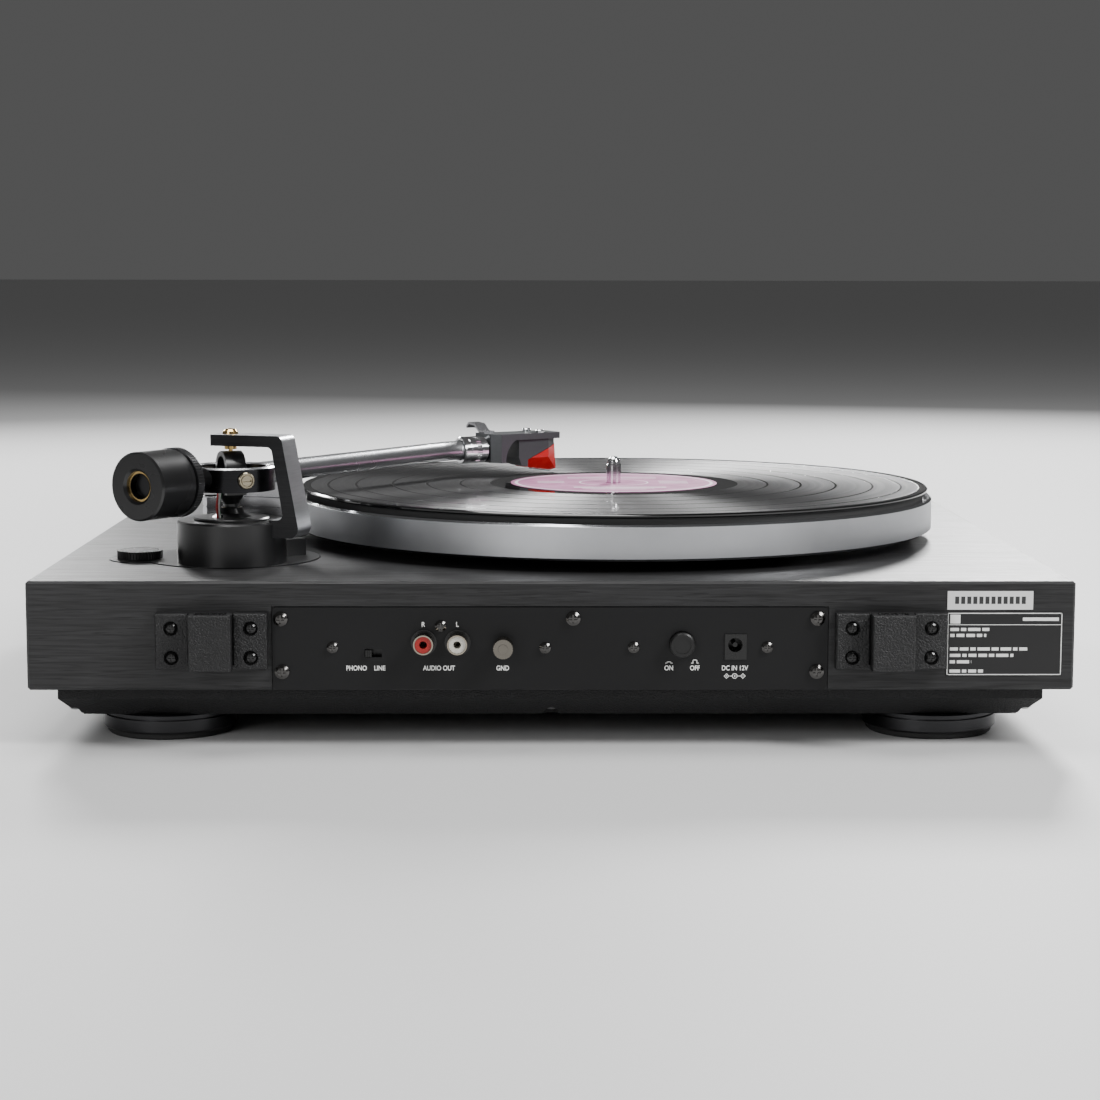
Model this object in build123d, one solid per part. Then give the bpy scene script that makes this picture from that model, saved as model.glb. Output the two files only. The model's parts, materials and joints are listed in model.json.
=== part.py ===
from build123d import *
import math
import os

# Belt-drive record player, built as separate pieces. Millimetres, +Z up, floor at Z = 0.
# +X is the tonearm side, -Y the front where the listener stands, +Y the connector side.

# ---------------------------------------------------------------- driving dimensions
PLINTH_W = 435.0
PLINTH_TOP = 70.0
PLINTH_BOTTOM = 24.4
PLINTH_REAR = 177.5
PLINTH_FRONT = -189.5
PLINTH_BEVEL = 1.0
WALL = 20.0
DECK_T = 16.0
DECK_UNDER = PLINTH_TOP - DECK_T

PAN_INSET = 10.5
PAN_BOTTOM = 11.0
PAN_T = 2.5
PAN_CHAMFER = 8.0
FOOT_X = 164.5
FOOT_Y = (134.0, -146.0)
FOOT_R = 28.8
PAD_TOP = 2.6

SPINDLE_X = -32.4
SPINDLE_R = 3.55
SPINDLE_TOP = 107.9
PLATTER_R = 152.8
PLATTER_Z = (75.05, 90.6)
PLATTER_SKIRT = 8.0
PLATTER_WEB = 4.0
SUB_R = 85.0
MAT_R = 148.5
RECORD_R = 150.8
RECORD_Z = (93.1, 94.9)
HOLE_R = 3.62
LABEL_R = 50.0
LABEL_T = 0.1

MOTOR_X = SPINDLE_X - 81.0
MOTOR_Y = -81.0
MOTOR_R = 17.5
PULLEY_R = 6.0
BELT_Z = (78.2, 82.8)
BELT_T = 0.7
BELT_GAP = 0.3

PANEL_X = (-114.5, 115.7)
PANEL_Z = (24.9, 59.2)
PANEL_T = 1.5
PANEL_RECESS = 1.0
PANEL_FACE = PLINTH_REAR - PANEL_RECESS + PANEL_T
WINDOW_X = (-104.0, 106.0)
WINDOW_Z = (28.5, 51.0)

HINGE_X = 140.5
HINGE_W = 46.0
HINGE_Z = (34.0, 57.25)
HINGE_FLANGE = 6.0
HINGE_PROUD = 12.0
HINGE_BLOCK_W = 17.5

PIVOT_X = 139.6
PIVOT_Y = 113.7
ARM_Z = 108.0
TUBE_R = 4.8
TUBE_DIR = -122.5
SHELL_DIR = -148.4
BEND_S = 170.2
BEND_R = 40.0
SHELL_T = (20.6, 61.0)
SHELL_TOP = 115.7
SHELL_H = 14.3
SHELL_PLATE = 3.0
SHELL_W = 19.0

BASE_R = 23.85
BASE_TOP = 89.0
PLATE_X = 141.3
PLATE_Y = 97.0
PLATE_R = 38.5
PLATE_Z = (68.5, 70.4)
SKATE_X = 181.5
SKATE_Y = 103.8
SKATE_R = 10.0
BRIDGE_DIR = 160.0
BRIDGE_T = 13.4
GIMBAL_DIR = -154.1
RING_R = 19.3
RING_IN = 16.6
RING_Z = (102.2, 112.8)
YOKE_TOP = 119.1

RUN = 0.06

# ---------------------------------------------------------------- helpers
LOW = (Align.CENTER, Align.CENTER, Align.MIN)


def cyl(r, z0, z1, x=0.0, y=0.0):
    """Upright cylinder between two heights."""
    return Pos(x, y, z0) * Cylinder(r, z1 - z0, align=LOW)


def tube(ro, ri, z0, z1, x=0.0, y=0.0):
    """Upright ring with a through bore."""
    return cyl(ro, z0, z1, x, y) - cyl(ri, z0 - 1, z1 + 1, x, y)


def block(x0, x1, y0, y1, z0, z1):
    """Box from its six faces."""
    return Pos((x0 + x1) / 2, (y0 + y1) / 2, (z0 + z1) / 2) * Box(x1 - x0, y1 - y0, z1 - z0)


def cyl_y(r, y0, y1, x, z):
    """Cylinder lying along +Y."""
    return Pos(x, y0, z) * Rot(-90, 0, 0) * Cylinder(r, y1 - y0, align=LOW)


def cyl_x(r, x0, x1, y=0.0, z=0.0):
    """Cylinder lying along +X."""
    return Pos(x0, y, z) * Rot(0, 90, 0) * Cylinder(r, x1 - x0, align=LOW)


def turned(points):
    """Solid of revolution about Z from (radius, height) points."""
    outline = Polyline(*[(r, 0, z) for r, z in points], close=True)
    return revolve(make_face(outline), Axis.Z)


def vertical_edges(part):
    return part.edges().filter_by(Axis.Z)


def around(cx, cy, radius, angle):
    """Point on a circle, angle in degrees from +X."""
    a = math.radians(angle)
    return cx + radius * math.cos(a), cy + radius * math.sin(a)


def cross_head(r, height, shank_r, shank_len):
    """Screw with a domed cross-recess head above Z = 0 and its shank below."""
    head = turned([(0, 0), (r, 0), (r, height * 0.45), (r * 0.62, height * 0.88), (0, height)])
    slot = Pos(0, 0, height * 0.45) * Box(r * 1.15, r * 0.28, height, align=LOW)
    recess = slot + Rot(0, 0, 90) * slot
    return head - recess + cyl(shank_r, -shank_len, 0.01)


def group(parts):
    return Compound(children=list(parts))


def export(node, shape):
    export_step(shape, f"parts/{node}.step")


def at_pivot(shape, angle=TUBE_DIR, z=ARM_Z):
    """Place a piece modelled along +X from the arm's pivot."""
    return Pos(PIVOT_X, PIVOT_Y, z) * Rot(0, 0, angle) * shape


BEND_X, BEND_Y = around(PIVOT_X, PIVOT_Y, BEND_S, TUBE_DIR)


def at_shell(shape):
    """Place a piece modelled along +X from the tube's bend."""
    return Pos(BEND_X, BEND_Y, 0) * Rot(0, 0, SHELL_DIR) * shape


os.makedirs("parts", exist_ok=True)

# ---------------------------------------------------------------- rear panel layout
PANEL_LARGE = [(112.3, 54.4), (111.8, 32.3), (-8.8, 54.6), (-110.2, 54.6), (-110.0, 32.3)]
PANEL_SMALL = [(90.9, 42.5), (46.1, 51.5), (2.8, 42.3), (-33.9, 42.5), (-89.4, 42.5)]
HINGE_SCREWS = [(sx * 16.35, z) for sx in (-1, 1) for z in (39.0, 51.2)]
RCA_Z = 44.6
RCA_RED_X = 53.1
RCA_WHITE_X = 39.1
GROUND_X = 20.2
GROUND_Z = 43.0
POWER_X = -54.0
POWER_Z = 43.8
POWER_R = 5.2
DC_X = -76.1
DC_Z = 43.5
DC_PLATE = ((-80.9, -71.7), (37.3, 48.1))
SWITCH_X = 74.05
SWITCH_Z = 40.0
SPEED_X = -185.0
SPEED_Y = -150.0
WIRE_R = 0.42
WIRE_SPOT = around(PIVOT_X, PIVOT_Y, 8.2, 56.0)
REST_X = 126.4
REST_Y = 5.0
LEVER_X = 149.5
LEVER_Y = 76.0
LIFT_R = 33.0
LIFT_MID = -110.0


# ---------------------------------------------------------------- plinth, pan and feet
def plinth():
    body = block(-PLINTH_W / 2, PLINTH_W / 2, PLINTH_FRONT, PLINTH_REAR, PLINTH_BOTTOM, PLINTH_TOP)
    body = chamfer(body.edges(), PLINTH_BEVEL)
    half = PLINTH_W / 2 - WALL
    body -= block(-half, half, PLINTH_FRONT + WALL, PLINTH_REAR - WALL, PLINTH_BOTTOM - 1, DECK_UNDER)
    body -= block(*WINDOW_X, PLINTH_REAR - WALL - 1, PLINTH_REAR + 1, *WINDOW_Z)
    body -= block(PANEL_X[0] - 0.4, PANEL_X[1] + 0.4, PLINTH_REAR - PANEL_RECESS, PLINTH_REAR + 1,
                  PANEL_Z[0] - 2, PANEL_Z[1] + 0.4)
    body -= cyl(20.1, PLINTH_TOP - 0.5, PLINTH_TOP + 1, SPINDLE_X, 0)
    body -= cyl(10.1, DECK_UNDER - 1, PLINTH_TOP + 1, SPINDLE_X, 0)
    body -= cyl(21.0, DECK_UNDER - 1, PLINTH_TOP + 1, MOTOR_X, MOTOR_Y)
    body -= cyl(PLATE_R + 0.5, PLATE_Z[0], PLINTH_TOP + 1, PLATE_X, PLATE_Y)
    body -= cyl(13.5, PLATE_Z[0], PLINTH_TOP + 1, SKATE_X, SKATE_Y)
    body -= cyl(12.0, DECK_UNDER - 1, PLINTH_TOP + 1, PIVOT_X, PIVOT_Y)
    body -= cyl(3.0, DECK_UNDER - 1, PLINTH_TOP + 1, SKATE_X, SKATE_Y)
    body -= cyl(3.0 + RUN, DECK_UNDER - 1, PLINTH_TOP + 1, SPEED_X, SPEED_Y)
    for x, z in PANEL_LARGE:
        body -= cyl_y(1.55, PLINTH_REAR - 9, PLINTH_REAR + 1, x, z)
    for x, z in PANEL_SMALL:
        body -= cyl_y(1.25, PLINTH_REAR - 5, PLINTH_REAR + 1, x, z)
    for side in (-1, 1):
        for dx, z in HINGE_SCREWS:
            body -= cyl_y(1.3, PLINTH_REAR - 9, PLINTH_REAR + 1, side * HINGE_X + dx, z)
    for x, y in PAN_SCREWS:
        body -= cyl(1.55, PLINTH_BOTTOM - 1, PLINTH_BOTTOM + 13, x, y)
    return body


def tray(inset, bottom, cut, top=PLINTH_BOTTOM):
    """Block whose bottom edges are cut at 45 degrees."""
    half = PLINTH_W / 2 - inset
    shape = block(-half, half, PLINTH_FRONT + inset, PLINTH_REAR - inset, bottom, top)
    low = shape.faces().sort_by(Axis.Z)[0]
    return chamfer(low.edges(), cut)


PAN_SCREWS = [(x, y) for x in (-201.0, 0.0, 201.0) for y in (-171.0, 159.0)]


def base_pan():
    shell = tray(PAN_INSET, PAN_BOTTOM, PAN_CHAMFER - 0.1)
    shell -= tray(PAN_INSET + PAN_T, PAN_BOTTOM + PAN_T, PAN_CHAMFER - 0.9, PLINTH_BOTTOM + 1)
    for x, y in PAN_SCREWS:
        boss = cyl(5.0, PAN_BOTTOM + 2.0, PLINTH_BOTTOM, x, y)
        shell += boss & tray(PAN_INSET, PAN_BOTTOM, PAN_CHAMFER - 0.1)
        shell -= cyl(1.7, PAN_BOTTOM - 1, PLINTH_BOTTOM + 1, x, y)
        shell -= cyl(3.3, PAN_BOTTOM - 1, PAN_BOTTOM + 4.2, x, y)
    for y in (-60.0, 50.0):
        shell += block(-190, 190, y, y + 2, PAN_BOTTOM + PAN_T - 0.5, PAN_BOTTOM + 8)
    for i in range(9):
        x = 40 + 9.0 * i
        shell -= block(x, x + 3, -30, 20, PAN_BOTTOM - 1, PAN_BOTTOM + PAN_T + 1)
    for x, y in foot_places():
        shell -= cyl(2.1, PAN_BOTTOM - 1, PAN_BOTTOM + PAN_T + 1, x, y)
    return shell


def foot_places():
    return [(side * FOOT_X, y) for side in (-1, 1) for y in FOOT_Y]


def foot_shell():
    return turned([(3.2, PAD_TOP), (FOOT_R - 0.9, PAD_TOP), (FOOT_R, PAD_TOP + 0.9), (FOOT_R, 8.3),
                   (FOOT_R - 1.2, 8.3), (FOOT_R - 1.2, 9.1), (FOOT_R, 9.1), (FOOT_R, 10.4),
                   (FOOT_R - 0.6, PAN_BOTTOM), (2.1, PAN_BOTTOM), (2.1, 7.0), (4.4, 7.0), (4.4, PAD_TOP)])


def foot_pad():
    return turned([(6, 0), (26.2, 0), (27, 0.8), (27, PAD_TOP), (6, PAD_TOP)])


def chassis_screws():
    """Pan screws and foot screws from below, and the motor plate's screws from above."""
    parts = [Pos(x, y, PAN_BOTTOM + 4.15) * Rot(180, 0, 0) * cross_head(3.0, 2.2, 1.5, 20) for x, y in PAN_SCREWS]
    parts += [Pos(x, y, 6.95) * Rot(180, 0, 0) * cross_head(3.9, 2.2, 2.0, 9) for x, y in foot_places()]
    for angle in (30, 150, 270):
        x, y = around(MOTOR_X, MOTOR_Y, 22.5, angle)
        parts.append(Pos(x, y, 71.65) * cross_head(2.6, 1.7, 1.4, 1.5))
    return group(parts)


# ---------------------------------------------------------------- drive
def bearing_housing():
    body = turned([(0, 36), (7, 36), (10, 40), (10, 69.5), (20, 69.5), (20, 72.5), (8, 72.5), (7.4, 73.8), (0, 73.8)])
    return body - cyl(SPINDLE_R + RUN, 41.0, 80)


def spindle():
    neck = SPINDLE_R - 0.3
    shaft = turned([(0, 41.4), (2.4, 41.8), (SPINDLE_R, 43.2), (SPINDLE_R, 93.4), (neck, 93.6), (neck, 95.0),
                    (SPINDLE_R, 95.1), (SPINDLE_R, 103.6), (3.1, 104.2), (3.1, 105.2), (2.6, 106.6), (1.5, 107.6),
                    (0, SPINDLE_TOP)])
    return shaft + tube(9.0, SPINDLE_R - 0.2, 79.0, 82.0)


def sub_platter():
    shape = turned([(SPINDLE_R + 0.03, 76.5), (8.4, 76.5), (8.4, 82.05), (SUB_R - 4, 82.05), (SUB_R - 4, 75.9),
                    (SUB_R, 75.9), (SUB_R, 86.6), (SPINDLE_R + 0.03, 86.6)])
    shape -= tube(9.05, SPINDLE_R, 70.0, 82.05)
    for i in range(6):
        x, y = around(0, 0, 46, 60 * i)
        shape -= cyl(15, 80, 90, x, y)
    return shape


def platter():
    web = PLATTER_Z[1] - PLATTER_WEB
    inner = PLATTER_R - PLATTER_SKIRT
    low, high = PLATTER_Z
    return turned([(SPINDLE_R + 0.05, web), (inner, web), (inner, low), (PLATTER_R - 1, low), (PLATTER_R, low + 1),
                   (PLATTER_R, high - 1), (PLATTER_R - 1, high), (SPINDLE_R + 0.05, high)])


def record():
    low, high = RECORD_Z
    groove = high - 0.15
    return turned([(HOLE_R, low), (RECORD_R - 1, low), (RECORD_R, low + 0.7), (RECORD_R, high - 0.5),
                   (RECORD_R - 0.6, high), (RECORD_R - 1.6, high), (RECORD_R - 2.4, groove), (LABEL_R + 2, groove),
                   (LABEL_R, high), (HOLE_R, high)])


def motor_plate():
    plate = Pos(MOTOR_X, MOTOR_Y, 70) * extrude(Circle(27), amount=1.6) - cyl(7.1, 69, 73, MOTOR_X, MOTOR_Y)
    for angle in (30, 150, 270):
        x, y = around(MOTOR_X, MOTOR_Y, 22.5, angle)
        plate -= cyl(1.5, 69, 73, x, y)
    return plate


def motor_body():
    can = cyl(MOTOR_R, 44, 67.5) + cyl(15, 42.5, 44.01) + cyl(7, 67.4, 73.0) + cyl(MOTOR_R + 2, 67.0, 69.9)
    return Pos(MOTOR_X, MOTOR_Y, 0) * (can - cyl(1.0 + RUN, 50, 80))


def motor_pulley():
    wheel = turned([(0, 73.6), (4.5, 73.6), (4.5, 76.5), (PULLEY_R + 1.4, 76.9), (PULLEY_R + 1.4, 77.7),
                    (PULLEY_R - 0.2, 78.0), (PULLEY_R, 80.5), (PULLEY_R - 0.2, 83.0), (PULLEY_R + 1.4, 83.3),
                    (PULLEY_R + 1.4, 84.3), (3, 85.0), (0, 85.0)])
    return Pos(MOTOR_X, MOTOR_Y, 0) * (wheel + cyl(1.0, 51, 74))


def belt_loop(extra):
    """Filled outline of the belt's run, grown by extra."""
    span = math.hypot(MOTOR_X - SPINDLE_X, MOTOR_Y)
    r1 = SUB_R + extra
    r2 = PULLEY_R + extra
    a = math.acos((r1 - r2) / span)
    c, s = math.cos(a), math.sin(a)
    sides = Polygon((r1 * c, -r1 * s), (span + r2 * c, -r2 * s), (span + r2 * c, r2 * s), (r1 * c, r1 * s), align=None)
    return Circle(r1) + Pos(span, 0) * Circle(r2) + sides


def drive_belt():
    ring = belt_loop(BELT_GAP + BELT_T) - belt_loop(BELT_GAP)
    heading = math.degrees(math.atan2(MOTOR_Y, MOTOR_X - SPINDLE_X))
    return Pos(SPINDLE_X, 0, BELT_Z[0]) * Rot(0, 0, heading) * extrude(ring, amount=BELT_Z[1] - BELT_Z[0])


# ---------------------------------------------------------------- connector side
def rear_panel():
    width = PANEL_X[1] - PANEL_X[0]
    height = PANEL_Z[1] - PANEL_Z[0]
    y0 = PANEL_FACE - PANEL_T
    sheet = extrude(RectangleRounded(width, height, 2), amount=PANEL_T)
    centre = Pos(sum(PANEL_X) / 2, PANEL_FACE, sum(PANEL_Z) / 2)
    panel = centre * Rot(90, 0, 0) * sheet
    for x, z in PANEL_LARGE:
        panel -= cyl_y(1.6, y0 - 1, PANEL_FACE + 1, x, z)
    for x, z in PANEL_SMALL:
        panel -= cyl_y(1.3, y0 - 1, PANEL_FACE + 1, x, z)
    for x in (RCA_RED_X, RCA_WHITE_X):
        panel -= cyl_y(5.0, y0 - 1, PANEL_FACE + 1, x, RCA_Z)
    panel -= cyl_y(2.1, y0 - 1, PANEL_FACE + 1, GROUND_X, GROUND_Z)
    panel -= cyl_y(POWER_R + 0.3, y0 - 1, PANEL_FACE + 1, POWER_X, POWER_Z)
    panel -= block(*DC_PLATE[0], y0 - 1, PANEL_FACE + 1, *DC_PLATE[1])
    panel -= block(SWITCH_X - 3.55, SWITCH_X + 3.55, y0 - 1, PANEL_FACE + 1, SWITCH_Z - 1.7, SWITCH_Z + 1.7)
    return panel


def rear_panel_screws():
    facing = Rot(-90, 0, 0)
    parts = [Pos(x, PANEL_FACE, z) * facing * cross_head(3.0, 2.0, 1.5, 9) for x, z in PANEL_LARGE]
    parts += [Pos(x, PANEL_FACE, z) * facing * cross_head(2.35, 1.6, 1.2, 4) for x, z in PANEL_SMALL]
    return group(parts)


def hinge_bracket(side):
    y0 = PLINTH_REAR
    z0, z1 = HINGE_Z
    half = HINGE_W / 2
    arm = HINGE_BLOCK_W / 2
    body = block(-half, half, y0, y0 + HINGE_FLANGE, z0, z1)
    body = chamfer(body.edges().group_by(Axis.Y)[-1], 0.5)
    cover = block(-arm, arm, y0, y0 + HINGE_PROUD, z0, z1)
    body += chamfer(cover.edges().group_by(Axis.Y)[-1], 0.5)
    body -= block(-arm - 0.9, -arm, y0 + 4.0, y0 + 20, z0 + 2, z1 + 1)
    body -= block(arm, arm + 0.9, y0 + 4.0, y0 + 20, z0 + 2, z1 + 1)
    body -= block(-6.5, 6.5, y0 + 3.4, y0 + 9.0, z0 + 3.0, z1 + 1)
    for dx, z in HINGE_SCREWS:
        body -= cyl_y(3.1, y0 + 4.6, y0 + 20, dx, z)
        body -= cyl_y(1.35, y0 - 1, y0 + 20, dx, z)
    return Pos(side * HINGE_X, 0, 0) * body


def hinge_screws():
    head_y = PLINTH_REAR + 4.65
    parts = []
    for side in (-1, 1):
        for dx, z in HINGE_SCREWS:
            parts.append(Pos(side * HINGE_X + dx, head_y, z) * Rot(-90, 0, 0) * cross_head(2.5, 1.7, 1.25, 11))
    return group(parts)


def rear_labels():
    y = PLINTH_REAR
    return group([block(-199.9, -163.9, y, y + 0.2, 58.0, 66.2), block(-212.4, -163.9, y, y + 0.2, 30.4, 57.2)])


def rca_block():
    body = block(30.5, 61.5, PANEL_FACE - PANEL_T - 14, PANEL_FACE - PANEL_T - 0.02, 36.0, 50.0)
    body -= block(43, 49.5, PANEL_FACE - PANEL_T - 15, PANEL_FACE, 47.5, 51)
    for x in (RCA_RED_X, RCA_WHITE_X):
        body += cyl_y(4.95, PANEL_FACE - PANEL_T - 0.1, PANEL_FACE, x, RCA_Z)
        body += cyl_y(5.4, PANEL_FACE, PANEL_FACE + 0.9, x, RCA_Z)
        body -= cyl_y(3.83, PANEL_FACE - 6, PANEL_FACE + 2, x, RCA_Z)
    return body


def rca_shell(x):
    outer = cyl_y(3.8, PANEL_FACE - 5.5, PANEL_FACE + 1.1, x, RCA_Z)
    outer += cyl_y(4.1, PANEL_FACE + 1.0, PANEL_FACE + 8.0, x, RCA_Z)
    outer -= cyl_y(3.25, PANEL_FACE - 6, PANEL_FACE + 1.5, x, RCA_Z)
    return outer - cyl_y(3.55, PANEL_FACE + 1.5, PANEL_FACE + 9, x, RCA_Z)


def rca_insert(x):
    core = cyl_y(3.2, PANEL_FACE - 5.5, PANEL_FACE + 1.7, x, RCA_Z)
    core += cyl_y(3.5, PANEL_FACE + 1.55, PANEL_FACE + 7.4, x, RCA_Z)
    return core - cyl_y(1.6, PANEL_FACE - 3, PANEL_FACE + 9, x, RCA_Z)


def ground_post():
    stud = cyl_y(2.0, PANEL_FACE - 8, PANEL_FACE + 9.2, GROUND_X, GROUND_Z)
    return stud + cyl_y(4.1, PANEL_FACE, PANEL_FACE + 2.0, GROUND_X, GROUND_Z)


def knurled(r, length, teeth, depth):
    """Cylinder along +Z with lengthwise grooves round its side."""
    body = Cylinder(r, length, align=LOW)
    cutter = Pos(r + depth * 0.35, 0, -1) * Rot(0, 0, 45) * Box(depth, depth, length + 2, align=LOW)
    cuts = [Rot(0, 0, 360 * i / teeth) * cutter for i in range(teeth)]
    return body - cuts


def ground_nut():
    nut = knurled(4.1, 6.6, 24, 0.7)
    nut -= Pos(0, 0, -1) * Cylinder(2.0 + RUN, 10, align=LOW)
    return Pos(GROUND_X, PANEL_FACE + 2.35, GROUND_Z) * Rot(-90, 0, 0) * nut


def dc_jack():
    x0, x1 = DC_PLATE[0]
    z0, z1 = DC_PLATE[1]
    face = PANEL_FACE + 0.5
    body = block(x0 + 0.05, x1 - 0.05, PANEL_FACE - 14, face, z0 + 0.05, z1 - 0.05)
    body -= cyl_y(3.0, face - 10, face + 1, DC_X, DC_Z)
    return body + cyl_y(1.0, face - 10.2, face - 1.2, DC_X, DC_Z)


def switch_bodies():
    back = PANEL_FACE - PANEL_T - 0.02
    slide = block(SWITCH_X - 7, SWITCH_X + 7, back - 7, back, SWITCH_Z - 3.5, SWITCH_Z + 3.5)
    slide -= block(SWITCH_X - 3.6, SWITCH_X + 3.6, back - 3.5, back + 1, SWITCH_Z - 1.8, SWITCH_Z + 1.8)
    push = block(POWER_X - 8, POWER_X + 8, back - 18, back, POWER_Z - 7, POWER_Z + 6.5)
    push -= cyl_y(POWER_R + RUN, back - 8, back + 1, POWER_X, POWER_Z)
    rotary = block(SPEED_X - 9, SPEED_X + 9, SPEED_Y - 9, SPEED_Y + 9, 42, DECK_UNDER - 0.02)
    rotary -= cyl(3.0 + RUN, 46, 60, SPEED_X, SPEED_Y)
    return group([slide, push, rotary])


def power_button():
    cap = cyl_y(POWER_R, PANEL_FACE - 4.5, PANEL_FACE + 4.0, POWER_X, POWER_Z)
    cap = chamfer(cap.edges().group_by(Axis.Y)[-1], 0.6)
    return cap - cyl_y(3.6, PANEL_FACE + 3.6, PANEL_FACE + 5, POWER_X, POWER_Z)


def slide_knob():
    x = SWITCH_X + 1.9
    grip = block(x - 1.3, x + 1.3, PANEL_FACE - 4.3, PANEL_FACE + 1.2, SWITCH_Z - 1.4, SWITCH_Z + 1.4)
    for dx in (-0.6, 0.2):
        grip -= block(x + dx, x + dx + 0.4, PANEL_FACE + 0.8, PANEL_FACE + 2, SWITCH_Z - 2, SWITCH_Z + 2)
    return grip


def main_board():
    """Control board on its stand-offs under the deck, with its components."""
    board = block(20, 120, 20, 90, 40.0, 41.6)
    parts = [board]
    parts += [cyl(4, 41.6, DECK_UNDER, x, y) for x in (26, 114) for y in (26, 84)]
    parts += [cyl(r, 40 - h, 40, x, y) for x, y, r, h in ((40, 40, 5, 12), (54, 40, 5, 12), (70, 75, 3.2, 8))]
    parts += [block(84, 98, 44, 52, 37.5, 40), block(44, 62, 66, 76, 38, 40), block(98, 112, 66, 74, 33, 40)]
    return group(parts)


# ---------------------------------------------------------------- arm base and bearings
def plate_xz(points, thickness, rounds=()):
    """Upright plate centred on Y = 0, with chosen corners rounded."""
    face = Polygon(*points, align=None)
    for corner, radius in rounds:
        face = fillet(face.vertices().sort_by_distance((*corner, 0))[0], radius)
    return Rot(90, 0, 0) * extrude(face, amount=thickness / 2, both=True)


def arm_base_plate():
    low, high = PLATE_Z
    plate = cyl(PLATE_R, low, high, PLATE_X, PLATE_Y) + cyl(13.0, low, high, SKATE_X, SKATE_Y)
    plate -= cyl(5.0, low - 1, high + 1, *WIRE_SPOT)
    return plate - cyl(2.0 + RUN, low - 1, high + 1, SKATE_X, SKATE_Y)


BRIDGE_FOOT = (21.3, 82.4)
BRIDGE_TOP = 126.5
BASE_STEP = (16.5, 90.3)


def arm_base():
    base = cyl(BASE_R, PLATE_Z[1], BASE_TOP)
    base = chamfer(base.edges().group_by(Axis.Z)[-1], 0.8)
    step_r, step_top = BASE_STEP
    base += turned([(0, 88), (step_r, 88), (step_r, step_top - 0.5), (step_r - 0.5, step_top), (8.6, step_top),
                    (5.6, 92.0), (4.9, 94.4), (0, 94.4)])
    base -= cyl(3.85, 78, 96)
    base = Pos(PIVOT_X, PIVOT_Y, 0) * base
    notch = block(BRIDGE_FOOT[0] - 0.02, 40, -BRIDGE_T / 2 - 0.02, BRIDGE_T / 2 + 0.02, BRIDGE_FOOT[1] - 0.02, 100)
    base -= at_pivot(notch, BRIDGE_DIR, 0)
    return base - cyl(1.7, PLATE_Z[1] - 1, 96, *WIRE_SPOT)


def bearing_bridge():
    x0, z0 = BRIDGE_FOOT
    outline = [(-6.4, 121.6), (-6.4, BRIDGE_TOP), (27.4, BRIDGE_TOP), (36.0, z0), (x0, z0),
               (x0, 90.0), (28.2, 90.0), (22.7, 121.6)]
    rounds = (((27.4, BRIDGE_TOP), 3.0), ((22.7, 121.6), 2.6), ((36.0, z0), 4.2), ((28.2, 90.0), 2.6))
    plate = plate_xz(outline, BRIDGE_T, rounds)
    plate -= cyl(2.75, 110, 130)
    return at_pivot(plate, BRIDGE_DIR, 0)


def yaw_bearings():
    """Top pivot screw in the bridge, and the bush in the base."""
    screw = turned([(0, 118.4), (0.9, 118.7), (0.9, 119.9), (2.7, 119.9), (2.7, BRIDGE_TOP + 0.05),
                    (3.5, BRIDGE_TOP + 0.05), (3.3, 127.7), (2.2, 128.6), (0, 129.0)])
    screw -= Pos(0, 0, 127.8) * Box(8, 0.8, 2, align=LOW)
    bush = tube(3.8, 3.02, 78.02, 94.3)
    return Pos(PIVOT_X, PIVOT_Y, 0) * group([screw, bush])


YOKE_OUT = 7.5
YOKE_WALL = 2.2
YOKE_HALF = 4.5
PITCH_Z = (RING_Z[0] + RING_Z[1]) / 2


def gimbal_yoke():
    """Arched yoke that turns on the upright axis; its tunnel crosses the pitch axis."""
    arch_z = YOKE_TOP - YOKE_OUT
    arch = cyl_x(YOKE_OUT, -YOKE_HALF, YOKE_HALF, 0, arch_z)
    arch += block(-YOKE_HALF, YOKE_HALF, -YOKE_OUT, YOKE_OUT, 100.2, arch_z)
    inner = YOKE_OUT - YOKE_WALL
    arch -= cyl_x(inner, -10, 10, 0, arch_z)
    arch -= block(-10, 10, -inner, inner, 101.2, arch_z)
    body = arch + turned([(0, 79.0), (2.95, 79.0), (2.95, 95.0), (3.4, 95.0), (3.4, 96.0), (6.4, 101.2), (0, 101.2)])
    for side in (-1, 1):
        boss = Pos(0, side * (YOKE_OUT + 0.5), PITCH_Z) * Rot(90, 0, 0) * Cylinder(2.3, 1.2)
        body += boss
    body -= cyl_y(1.0 + RUN, -12, 12, 0, PITCH_Z)
    body -= cyl(0.9 + RUN, 118.0, 120.0)
    return at_pivot(body, GIMBAL_DIR, 0)


def gimbal_ring():
    ring = tube(RING_R, RING_IN, *RING_Z)
    ring = chamfer(ring.edges().group_by(Axis.Z)[-1], 0.7)
    ring -= cyl_y(3.0, -30, 30, 0, PITCH_Z)
    for side in (-1, 1):
        ring -= Pos(0, side * (RING_R + 0.2), PITCH_Z) * Rot(90, 0, 0) * Cylinder(3.75, 1.6)
    return at_pivot(ring, GIMBAL_DIR, 0)


def pitch_pivot_screws():
    screw = turned([(0, 6.0), (1.0, 6.3), (1.0, 9.3), (2.9, 9.3), (2.9, 18.75), (3.65, 18.75), (3.65, 20.3),
                    (3.2, 20.8), (2.75, 20.8), (2.6, 20.1), (2.35, 20.1), (2.2, 20.6), (0, 20.6)])
    screw -= Pos(0, 0, 19.7) * Box(4.2, 0.9, 3, align=LOW)
    near = Pos(0, 0, PITCH_Z) * Rot(-90, 0, 0) * screw
    far = Pos(0, 0, PITCH_Z) * Rot(90, 0, 0) * screw
    return at_pivot(group([near, far]), GIMBAL_DIR, 0)


# ---------------------------------------------------------------- tonearm
TURN = TUBE_DIR - SHELL_DIR
TANGENT = BEND_R * math.tan(math.radians(TURN / 2))


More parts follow.
